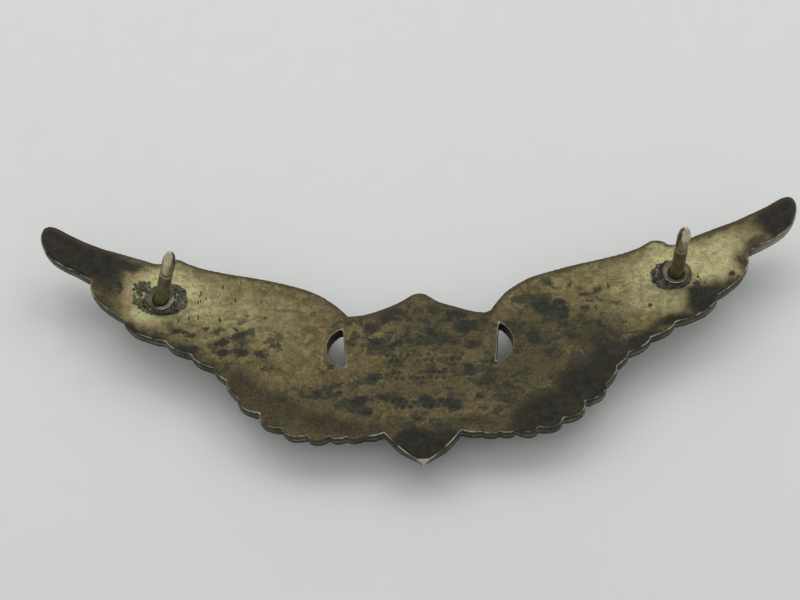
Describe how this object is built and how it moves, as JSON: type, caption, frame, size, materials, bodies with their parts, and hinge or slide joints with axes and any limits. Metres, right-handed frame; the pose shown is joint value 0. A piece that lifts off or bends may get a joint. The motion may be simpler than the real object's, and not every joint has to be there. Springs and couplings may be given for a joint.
{
  "type": "pilot wings pin",
  "caption": "Bowed metal pair of feathered wings joined by a shield, with an enamelled applied shield in front and collared clutch posts soldered to the back.",
  "frame": {"origin": "under the middle of the pin, level with the flat front of the shield that it lies on", "axes": "+X along the wing span, +Y towards the top edge of the wings, +Z out of the back, along the posts"},
  "size_m": [0.076, 0.0271, 0.0131],
  "materials": {
    "tarnished_silver": "tarnished silver, brown and yellow-green patina",
    "polished_silver": "lightly tarnished silver",
    "enamel": "red vitreous enamel",
    "post_metal": "worn plated brass",
    "solder": "dark oxidised solder"
  },
  "bodies": {
    "root": {"wing_plate": "tarnished_silver", "shield": "polished_silver", "shield_enamel": "enamel", "left_post": "post_metal", "left_post_collar": "post_metal", "left_solder": "solder", "right_post": "post_metal", "right_post_collar": "post_metal", "right_solder": "solder"}
  },
  "joints": []
}
